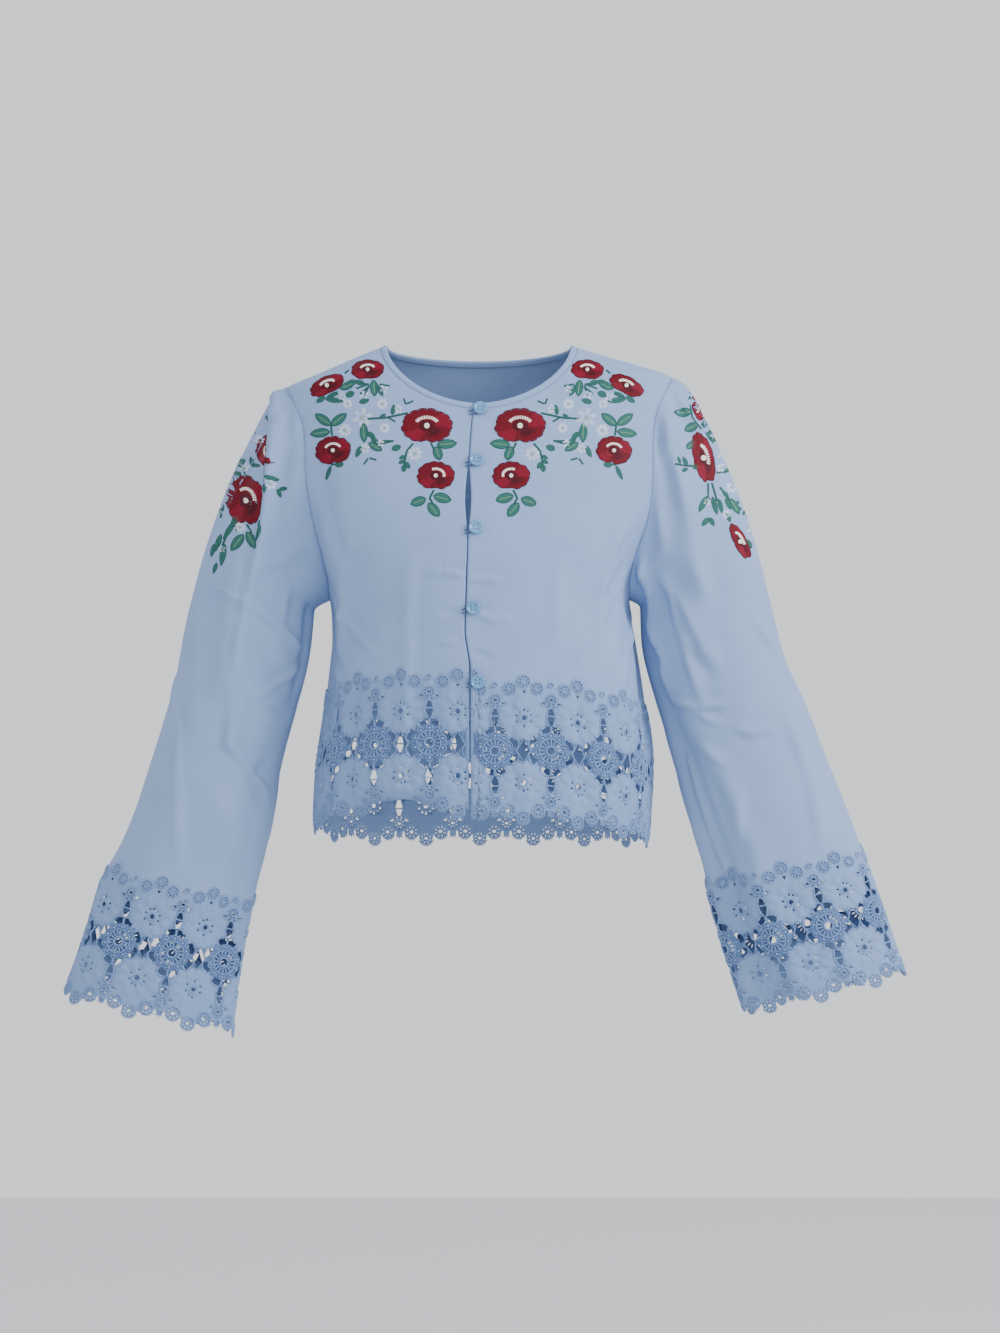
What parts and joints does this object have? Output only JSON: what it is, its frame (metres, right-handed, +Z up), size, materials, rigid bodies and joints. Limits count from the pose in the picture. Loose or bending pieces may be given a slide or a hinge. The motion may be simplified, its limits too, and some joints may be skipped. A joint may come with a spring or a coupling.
{
  "type": "embroidered blouse",
  "caption": "Open-fronted folk blouse in pale blue cotton, flared sleeves, wide cutwork lace at hem and cuffs, dark red roses embroidered at the yoke and sleeves",
  "frame": {"origin": "midway between the two high neck points, on the line where the wearer's shoulders carry the blouse", "axes": "+X towards the wearer's left sleeve, +Y towards the wearer's back, +Z up from the hem to the neck"},
  "size_m": [0.8343, 0.252, 0.6887],
  "materials": {
    "cloth": "matte",
    "lace": "matte",
    "button": "gloss",
    "thread": "matte"
  },
  "bodies": {
    "root": {"front_right": "cloth", "front_left": "cloth", "back": "cloth", "neck_binding": "cloth", "sleeve_right": "cloth", "sleeve_left": "cloth", "hem_lace_front_right": "lace", "hem_lace_front_left": "lace", "hem_lace_back": "lace", "cuff_lace_right_front": "lace", "cuff_lace_right_back": "lace", "cuff_lace_left_front": "lace", "cuff_lace_left_back": "lace", "button_1": "button", "button_2": "button", "button_3": "button", "button_4": "button", "button_5": "button", "loop_1": "thread", "loop_2": "thread", "loop_3": "thread", "loop_4": "thread", "loop_5": "thread"}
  },
  "joints": []
}
